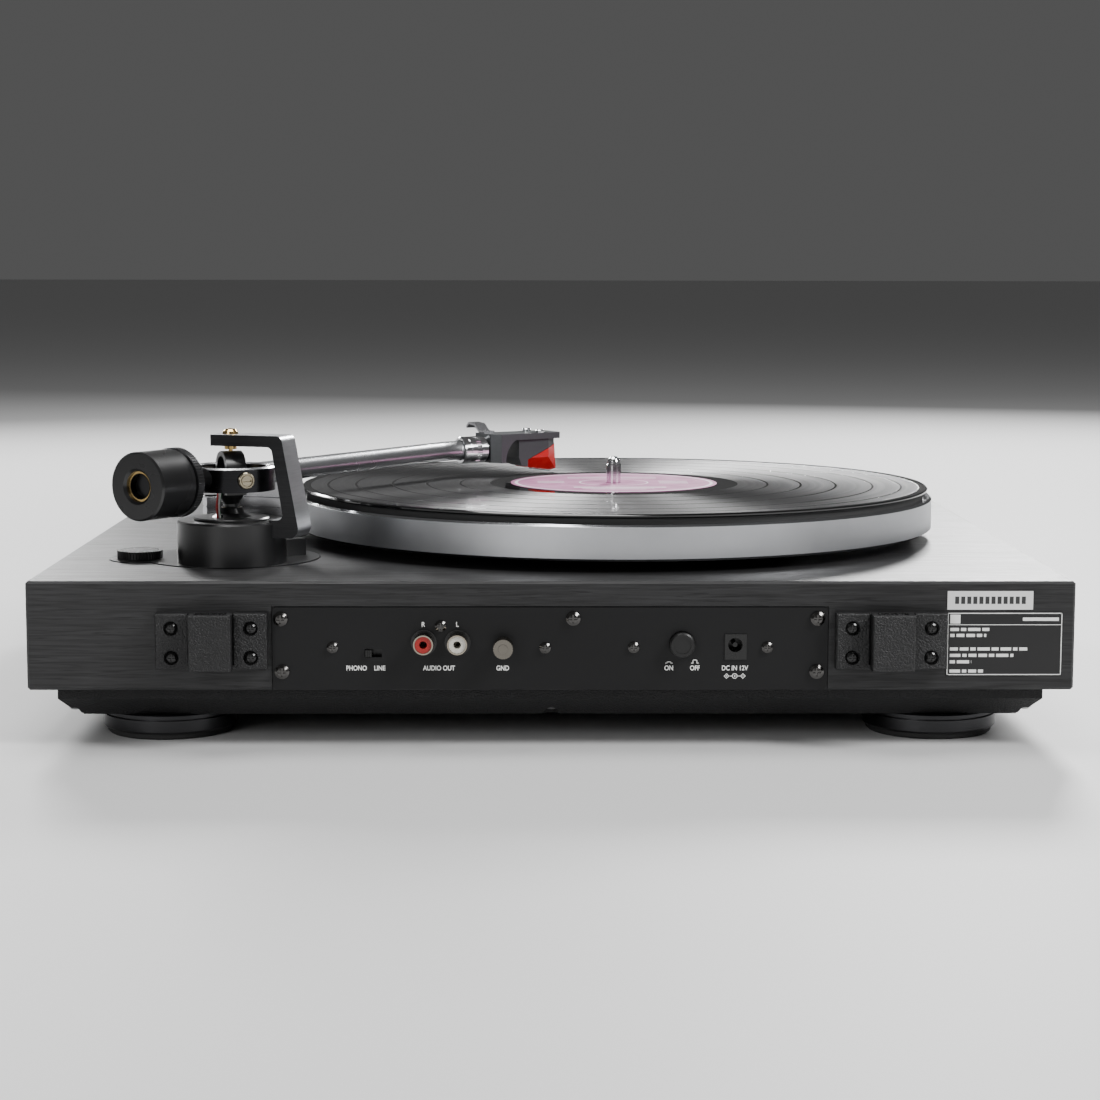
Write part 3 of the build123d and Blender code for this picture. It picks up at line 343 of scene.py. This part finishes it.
def insert_with_painted_shade():
    """Brass threaded sleeve: painted shade makes its bore near-black, with a thin bare brass ring at its rim.
    """
    look = Look("brass_insert_painted_shade", (0.7, 0.48, 0.18), 0.22, 1.0)
    low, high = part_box("counterweight_insert")
    shift = look.add("ShaderNodeVectorMath", {0: look.coords}, operation="SUBTRACT")
    shift.inputs[1].default_value = (Vector(low) + Vector(high)) / 2
    turn = look.add("ShaderNodeVectorMath", {0: shift.outputs[0]}, operation="CROSS_PRODUCT")
    axis = (centre("counterweight_insert") - centre("dial_ring")).normalized()
    turn.inputs[1].default_value = axis
    reach = look.add("ShaderNodeVectorMath", {0: turn.outputs[0]}, operation="LENGTH").outputs["Value"]
    fine = look.noise(900, 2)
    # painted shade: inside 5.4 mm of the axis the brass gets near-black colour for the shade down the bore;
    # beyond 5.6 mm it keeps its brass colour
    ring = look.band(reach, 0.0054, 0.0056)
    look.paint(look.blend(ring, look.shades(fine, (0.01, 0.01, 0.01), (0.02, 0.019, 0.018)),
                          look.shades(fine, (0.6, 0.4, 0.14), (0.8, 0.58, 0.26))))
    look.gloss(look.ramp(fine, 0.16, 0.3))
    look.bump(fine, 0.000006)
    return look


def stylus_red():
    """Tinted clear plastic with a satin skin."""
    look = Look("stylus_red", (0.62, 0.012, 0.012), 0.16, coat=0.5, coat_rough=0.06)
    look.set("Transmission Weight", 0.25)
    look.set("IOR", 1.49)
    cloud = look.noise(320, 3)
    look.paint(look.shades(cloud, (0.5, 0.008, 0.008), (0.78, 0.03, 0.03)))
    look.gloss(look.ramp(cloud, 0.1, 0.22))
    look.bump(look.noise(1400, 2), 0.000008)
    return look


def circuit_board():
    look = Look("circuit_board", (0.02, 0.16, 0.07), 0.35)
    tracks = look.add("ShaderNodeTexBrick", {"Vector": look.coords, "Scale": 160.0, "Mortar Size": 0.03})
    z = look.along("Z")
    board = look.band(z, 0.0399, 0.04)
    green = look.shades(tracks.outputs["Fac"], (0.015, 0.13, 0.055), (0.04, 0.26, 0.12))
    part = look.shades(look.noise(90, 2), (0.02, 0.02, 0.022), (0.1, 0.1, 0.11))
    look.paint(look.blend(board, part, green))
    look.gloss(look.ramp(look.noise(300, 2), 0.28, 0.5))
    look.bump(tracks.outputs["Fac"], 0.00003)
    return look


def ring_black():
    """Black anodised ring whose turned top rim is bare and bright."""
    look = Look("ring_black", (0.03, 0.03, 0.032), 0.3, 1.0)
    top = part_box("gimbal_ring")[1][2]
    z = look.along("Z")
    bare = look.band(z, top - 0.0008, top - 0.0006)
    lines = look.noise(1.0, 2, (10, 10, 3000))
    dark = look.shades(lines, (0.022, 0.022, 0.024), (0.045, 0.045, 0.048))
    bright = look.shades(lines, (0.7, 0.7, 0.72), (0.9, 0.9, 0.92))
    look.paint(look.blend(bare, dark, bright))
    look.gloss(look.ramp(look.noise(40, 3), 0.2, 0.34))
    look.bump(lines, 0.000006)
    return look


def bridge_anodised():
    """Brushed plate: black faces, bare bright edge on the outer side and top."""
    look = Look("bridge_anodised", (0.05, 0.05, 0.053), 0.36, 1.0)
    normal = look.add("ShaderNodeNewGeometry").outputs["True Normal"]
    across = look.add("ShaderNodeVectorMath", {0: normal}, operation="DOT_PRODUCT")
    turn = math.radians(160 + 90)
    across.inputs[1].default_value = (math.cos(turn), math.sin(turn), 0)
    side = look.math("ABSOLUTE", across.outputs["Value"])
    edge = look.band(side, 0.9, 0.7)
    lines = look.noise(1.0, 3, (90, 90, 1600))
    face = look.shades(lines, (0.025, 0.025, 0.026), (0.05, 0.05, 0.052))
    bare = look.shades(lines, (0.6, 0.61, 0.63), (0.78, 0.79, 0.81))
    look.paint(look.blend(edge, face, bare))
    look.gloss(look.ramp(look.math("MULTIPLY", look.math("ADD", lines, look.noise(40, 3)), 0.5), 0.26, 0.46))
    look.bump(lines, 0.00001)
    return look


LOOKS = {
    "wood_grain_vinyl": wood_grain,
    "vinyl": vinyl,
    "label_paper": label_paper,
    "platter_aluminium": platter_metal,
    "mat_rubber": mat_rubber,
    "stylus_red": stylus_red,
    "circuit_board": circuit_board,
    "ring_black": ring_black,
    "bridge_anodised": bridge_anodised,
    "hinge_plastic": lambda: spark_plastic("hinge_plastic", (0.011, 0.011, 0.0115), 0.36),
    "pan_plastic": lambda: spark_plastic("pan_plastic", (0.008, 0.008, 0.0084), 0.5),
    "zinc_steel": lambda: plain("zinc_steel", (0.5, 0.5, 0.5), 0.3, 1.0, depth=0.000005),
    "foot_satin": lambda: turned_metal("foot_satin", (0.045, 0.045, 0.047), 0.3),
    "pad_rubber": lambda: plain("pad_rubber", (0.02, 0.02, 0.02), 0.75, depth=0.00004),
    "brass": lambda: turned_metal("brass", (0.72, 0.5, 0.2), 0.2),
    "polished_steel": lambda: turned_metal("polished_steel", (0.82, 0.82, 0.84), 0.12, 0.06),
    "sub_plastic": lambda: plain("sub_plastic", (0.04, 0.04, 0.042), 0.4),
    "zinc_sheet": lambda: brushed("zinc_sheet", (0.55, 0.55, 0.56), 0.35, (40, 900, 900)),
    "motor_can": lambda: turned_metal("motor_can", (0.4, 0.4, 0.42), 0.28),
    "belt_rubber": lambda: plain("belt_rubber", (0.02, 0.02, 0.02), 0.6, depth=0.00003),
    "panel_black": panel_satin,
    "black_nickel": lambda: plain("black_nickel", (0.1, 0.097, 0.094), 0.22, 1.0, depth=0.000004),
    "dark_screw": lambda: plain("dark_screw", (0.05, 0.05, 0.05), 0.26, 1.0, depth=0.000004),
    "sticker": lambda: plain("sticker", (0.007, 0.007, 0.0073), 0.4, grain=1200, depth=0.00001),
    "socket_plastic": lambda: plain("socket_plastic", (0.007, 0.007, 0.007), 0.28),
    "socket_nickel": lambda: plain("socket_nickel", (0.36, 0.32, 0.26), 0.16, 1.0, depth=0.000004),
    "insert_red": lambda: plain("insert_red", (0.36, 0.014, 0.01), 0.3, depth=0.00001),
    "insert_white": lambda: plain("insert_white", (0.62, 0.6, 0.54), 0.32, vary=0.06, depth=0.00001),
    "button_plastic": lambda: plain("button_plastic", (0.006, 0.006, 0.006), 0.38, depth=0.000015),
    "arm_black": lambda: plain("arm_black", (0.008, 0.008, 0.0085), 0.3, depth=0.00001,
                               coat=0.3, coat_rough=0.3),
    "pivot_brass": lambda: turned_metal("pivot_brass", (0.42, 0.37, 0.27), 0.2),
    "tube_satin": lambda: plain("tube_satin", (0.66, 0.67, 0.69), 0.27, 1.0, vary=0.04,
                                spread=0.03, depth=0.0),
    "dark_steel": lambda: plain("dark_steel", (0.05, 0.05, 0.052), 0.3, 1.0, depth=0.000005),
    "counterweight_black": lambda: plain("counterweight_black", (0.007, 0.007, 0.0074), 0.28,
                                         coat=0.35, coat_rough=0.3),
    "dial_dark": lambda: plain("dial_dark", (0.16, 0.16, 0.165), 0.28, 1.0),
    "shell_grey": lambda: plain("shell_grey", (0.1, 0.105, 0.11), 0.32, 0.7, depth=0.00001),
    "lift_steel": lambda: brushed("lift_steel", (0.5, 0.5, 0.52), 0.26, (700, 700, 60)),
    "cartridge_grey": lambda: plain("cartridge_grey", (0.045, 0.05, 0.052), 0.3),
    "stylus_metal": lambda: plain("stylus_metal", (0.75, 0.75, 0.76), 0.2, 1.0, depth=0),
    "bridge_silver": lambda: brushed("bridge_silver", (0.66, 0.66, 0.68), 0.24, (300, 300, 1500)),
    "lever_plastic": lambda: plain("lever_plastic", (0.02, 0.02, 0.021), 0.26),
    "knob_black": lambda: plain("knob_black", (0.008, 0.008, 0.008), 0.36, depth=0.00002),
    "wire_cover": wire_covers,
    "knob_metal": lambda: turned_metal("knob_metal", (0.09, 0.09, 0.092), 0.3),
}
MATERIALS = {name: make().mat for name, make in LOOKS.items()}
INK = plain("white_ink", (0.88, 0.88, 0.86), 0.45, vary=0.05, grain=2500, depth=0.000004).mat
DARK_INK = plain("dark_ink", (0.03, 0.03, 0.03), 0.45, vary=0.1, grain=2500, depth=0.000004).mat
PALE_INK = plain("pale_ink", (0.8, 0.72, 0.78), 0.45, vary=0.05, grain=2500, depth=0.000004).mat
PAPER = plain("label_film", (0.74, 0.74, 0.73), 0.42, vary=0.04, grain=1500, depth=0.000008).mat

for part in frame["record"]["subparts"]:
    obj = NODES[part["node"]]
    for slot in obj.material_slots:
        slot.material = MATERIALS[part["material_slot"]]
# counterweight insert: brass with painted shade in its bore
NODES["counterweight_insert"].material_slots[0].material = insert_with_painted_shade().mat
# painted reflection: nickel darkened to 0.2 so the ground nut and post look as if they reflect dark
# surroundings rather than the pale floor
NUT_PAINTED_DARK = turned_metal("nut_nickel_painted_dark", (0.2, 0.185, 0.16), 0.24)
NODES["ground_nut"].material_slots[0].material = NUT_PAINTED_DARK.mat
NODES["ground_post"].material_slots[0].material = NUT_PAINTED_DARK.mat


# ---------------------------------------------------------------- printed legends
INK_DEPTH = 0.02 * MM
LAYER = 0.03 * MM
STROKE = 0.06 * MM
SIZE_PER_CAP = 1.37
CONDENSED = 0.84


def text(name, words, x, z, height):
    """Bold condensed print on the rear panel, read from behind the turntable."""
    curve = bpy.data.curves.new(name + "_curve", "FONT")
    curve.body = words
    curve.size = height * SIZE_PER_CAP
    curve.align_x = "CENTER"
    curve.align_y = "CENTER"
    curve.extrude = INK_DEPTH
    curve.offset = STROKE
    source = bpy.data.objects.new(name + "_curve", curve)
    bpy.context.collection.objects.link(source)
    bpy.context.view_layer.update()
    mesh = bpy.data.meshes.new_from_object(source.evaluated_get(bpy.context.evaluated_depsgraph_get()))
    bpy.data.objects.remove(source)
    mesh.materials.clear()
    mesh.materials.append(INK)
    obj = bpy.data.objects.new(name, mesh)
    bpy.context.collection.objects.link(obj)
    turn = Matrix(((-CONDENSED, 0, 0), (0, 0, 1), (0, 1, 0))).to_4x4()
    obj.matrix_world = Matrix.Translation((x, PANEL_FACE + LAYER, z)) @ turn
    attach(obj, "chassis")
    return obj


def prints(name, shapes, place, material, body="chassis", thick=0.00004):
    """One mesh of thin printed polygons; place(u, v, w) gives a point, with w the height off the surface."""
    mesh = bpy.data.meshes.new(name)
    build = bmesh.new()
    for shape in shapes:
        low = [build.verts.new(place(u * MM, v * MM, 0.00001)) for u, v in shape]
        high = [build.verts.new(place(u * MM, v * MM, thick)) for u, v in shape]
        build.faces.new(low)
        build.faces.new(high)
        for i in range(len(shape)):
            j = (i + 1) % len(shape)
            build.faces.new((low[i], low[j], high[j], high[i]))
    bmesh.ops.recalc_face_normals(build, faces=build.faces)
    build.to_mesh(mesh)
    build.free()
    mesh.materials.append(material)
    obj = bpy.data.objects.new(name, mesh)
    bpy.context.collection.objects.link(obj)
    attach(obj, body)
    return obj


def bar(x0, x1, z0, z1):
    return [(x0, z0), (x1, z0), (x1, z1), (x0, z1)]


def ring(x, z, inner, outer, count=24):
    shapes = []
    for i in range(count):
        a, b = (2 * math.pi * k / count for k in (i, i + 1))
        shapes.append([(x + r * math.cos(t), z + r * math.sin(t))
                       for r, t in ((inner, a), (outer, a), (outer, b), (inner, b))])
    return shapes


def on_panel(u, v, w):
    return (u, PANEL_FACE + w, v)


LABEL_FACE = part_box("rear_labels")[1][1]


def on_label(u, v, w):
    return (u, LABEL_FACE + w, v)


CAP = 2.05 * MM
LEGENDS = (
    ("legend_phono", "PHONO", 81.0, 33.7),
    ("legend_line", "LINE", 71.4, 33.7),
    ("legend_audio", "AUDIO OUT", 46.8, 33.7),
    ("legend_ground", "GND", 20.4, 33.7),
    ("legend_on", "ON", -48.6, 33.7),
    ("legend_off", "OFF", -59.4, 33.7),
    ("legend_dc", "DC IN 12V", -76.0, 33.7),
    ("legend_right", "R", 53.3, 52.0),
    ("legend_left", "L", 39.2, 52.0),
)
for name, words, x, z in LEGENDS:
    text(name, words, x * MM, z * MM, CAP)

icons = []
for x, rise in ((-48.6, 0.8), (-59.4, 1.6)):
    icons.append(bar(x - 1.5, x - 0.8, 35.7, 36.0))
    icons.append(bar(x + 0.8, x + 1.5, 35.7, 36.0))
    icons.append(bar(x - 0.95, x - 0.65, 35.7, 35.7 + rise))
    icons.append(bar(x + 0.65, x + 0.95, 35.7, 35.7 + rise))
    icons.append(bar(x - 0.95, x + 0.95, 35.4 + rise, 35.7 + rise))
icons += ring(-76.0, 30.4, 0.85, 1.15)
icons += [[(-76.45, 30.4), (-76.0, 29.95), (-75.55, 30.4), (-76.0, 30.85)]]
for side in (-1, 1):
    x = -76.0 + side * 3.4
    for u, v in ((-1, -1), (1, -1), (1, 1), (-1, 1)):
        icons.append([(x + u * 1.15, 30.4), (x, 30.4 + v * 1.15), (x, 30.4 + v * 0.8), (x + u * 0.8, 30.4)])
    ends = sorted((x - side * 1.15, x - side * 2.25))
    icons.append(bar(*ends, 30.28, 30.52))
    icons.append(bar(x - 0.45, x + 0.45, 30.3, 30.5))
icons.append(bar(-72.7, -72.5, 29.95, 30.85))
prints("legend_icons", icons, on_panel, INK)

prints("sticker_film", [bar(-199.7, -164.1, 58.2, 66.0)], on_label, PAPER)
marks = []
for i in range(12):
    x = -167.2 - 2.52 * i
    marks.append(bar(x - 1.7, x, 60.6, 63.7))
prints("sticker_bars", marks, lambda u, v, w: (u, LABEL_FACE + LAYER + w, v), DARK_INK)

plate = [bar(-212.0, -164.3, 56.5, 56.85), bar(-212.0, -164.3, 30.75, 31.1),
         bar(-212.0, -211.65, 30.75, 56.85), bar(-164.65, -164.3, 30.75, 56.85),
         bar(-212.0, -164.3, 51.75, 52.0), bar(-169.6, -165.4, 52.4, 56.1), bar(-210.6, -195.6, 53.5, 54.9)]
WORDS = (3.6, 2.2, 5.1, 2.9, 4.4, 1.8, 3.3)
for z, length in ((49.9, 17.0), (47.4, 15.0), (41.7, 33.0), (39.0, 26.5), (36.3, 9.0), (32.4, 14.0)):
    x = 0.0
    turn = int(z)
    while x < length:
        word = min(WORDS[turn % 7], length - x)
        plate.append(bar(-165.5 - x - word, -165.5 - x, z - 0.65, z + 0.65))
        x += word + 0.8
        turn += 1
prints("plate_print", plate, on_label, INK)

# print on the record label and the knobs' scales
LABEL_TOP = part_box("record_label")[1][2]


def on_disc(u, v, w):
    return (SPINDLE[0] + u, SPINDLE[1] + v, LABEL_TOP + w)


disc = [bar(-24.0, 20.0, 24.0, 27.5), bar(-18.0, 16.0, 30.5, 32.0), bar(-14.0, 12.0, 34.5, 36.0)]
disc += [bar(-36.0, -22.0, z, z + 1.2) for z in (-8.0, -4.0, 0.0, 4.0)]
disc += [bar(24.0, 37.0, z, z + 1.2) for z in (-6.0, -2.0, 2.0)]
disc += [bar(-22.0, 22.0, z, z + 1.0) for z in (-22.0, -25.5, -29.0)]
prints("label_print", disc, on_disc, PALE_INK, "platter", 0.00003)


def dial_marks(name, node, body, inner, outer, steps, spread, wide):
    """Radial scale marks on a knob's top, with a broader pointer in the middle."""
    middle = centre(node)
    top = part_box(node)[1][2]
    shapes = []
    for i in range(steps):
        angle = math.radians(90 + spread * (i / (steps - 1) - 0.5))
        c, sn = math.cos(angle), math.sin(angle)
        half = wide if i == steps // 2 else wide * 0.55
        near = inner - 1.6 if i == steps // 2 else inner
        corners = ((near, half), (outer, half), (outer, -half), (near, -half))
        shapes.append([(r * c + side * sn, r * sn - side * c) for r, side in corners])

    def on_top(u, v, w):
        return (middle[0] + u, middle[1] + v, top - INK_DEPTH + w)

    prints(name, shapes, on_top, INK, body, INK_DEPTH)


dial_marks("antiskate_marks", "antiskate_knob", "antiskate", 5.6, 8.2, 13, 300.0, 0.42)
dial_marks("speed_marks", "speed_knob", "speed_knob", 5.5, 8.0, 3, 90.0, 0.5)


# ---------------------------------------------------------------- studio
def floor():
    mesh = bpy.data.meshes.new("floor")
    build = bmesh.new()
    bmesh.ops.create_grid(build, x_segments=2, y_segments=2, size=30)
    build.to_mesh(mesh)
    build.free()
    obj = bpy.data.objects.new("floor", mesh)
    bpy.context.collection.objects.link(obj)
    mat = bpy.data.materials.new("floor")
    mat.use_nodes = True
    shader = mat.node_tree.nodes["Principled BSDF"]
    shader.inputs["Base Color"].default_value = (0.62, 0.62, 0.62, 1)
    shader.inputs["Roughness"].default_value = 0.6
    mesh.materials.append(mat)


def area_light(name, place, aim, size, power, color=(1, 1, 1)):
    light = bpy.data.lights.new(name, "AREA")
    light.shape = "RECTANGLE"
    light.size, light.size_y = size
    light.energy = power
    light.color = color
    obj = bpy.data.objects.new(name, light)
    bpy.context.collection.objects.link(obj)
    obj.location = place
    obj.rotation_euler = (Vector(aim) - Vector(place)).to_track_quat("-Z", "Y").to_euler()
    return obj


def camera():
    place = Vector((13.8, 1153.5, 199.95)) * MM
    pitch, yaw, roll = (math.radians(a) for a in (6.828, 0.760, 0.103))
    ahead = Vector((-math.sin(yaw) * math.cos(pitch), -math.cos(yaw) * math.cos(pitch), -math.sin(pitch)))
    right = Vector((-math.cos(yaw), math.sin(yaw), 0))
    up = right.cross(ahead)
    turn = Matrix((right, up, -ahead)).transposed().to_4x4()
    data = bpy.data.cameras.new("camera")
    data.lens = 77.93
    data.sensor_width = 36
    data.clip_start = 0.01
    obj = bpy.data.objects.new("camera", data)
    bpy.context.collection.objects.link(obj)
    obj.matrix_world = Matrix.Translation(place) @ turn @ Matrix.Rotation(roll, 4, "Z")
    bpy.context.scene.camera = obj


floor()
area_light("key", (-1.2, 0.75, 1.25), (0, 0, 0.06), (0.5, 0.8), 40)
area_light("fill", (0.9, 1.6, 0.75), (0, 0, 0.06), (0.6, 0.9), 10)
area_light("back", (-0.62, -1.75, 0.95), (-0.05, 0, 0.08), (0.35, 0.35), 42)
area_light("rim", (0.75, -1.5, 0.8), (0.1, 0, 0.08), (0.4, 0.3), 20)
area_light("top", (0.15, -0.2, 1.6), (0, 0, 0), (0.9, 0.7), 18)
world = bpy.data.worlds.new("studio")
world.use_nodes = True
world.node_tree.nodes["Background"].inputs["Color"].default_value = (1, 1, 1, 1)
world.node_tree.nodes["Background"].inputs["Strength"].default_value = 0.09
bpy.context.scene.world = world
camera()
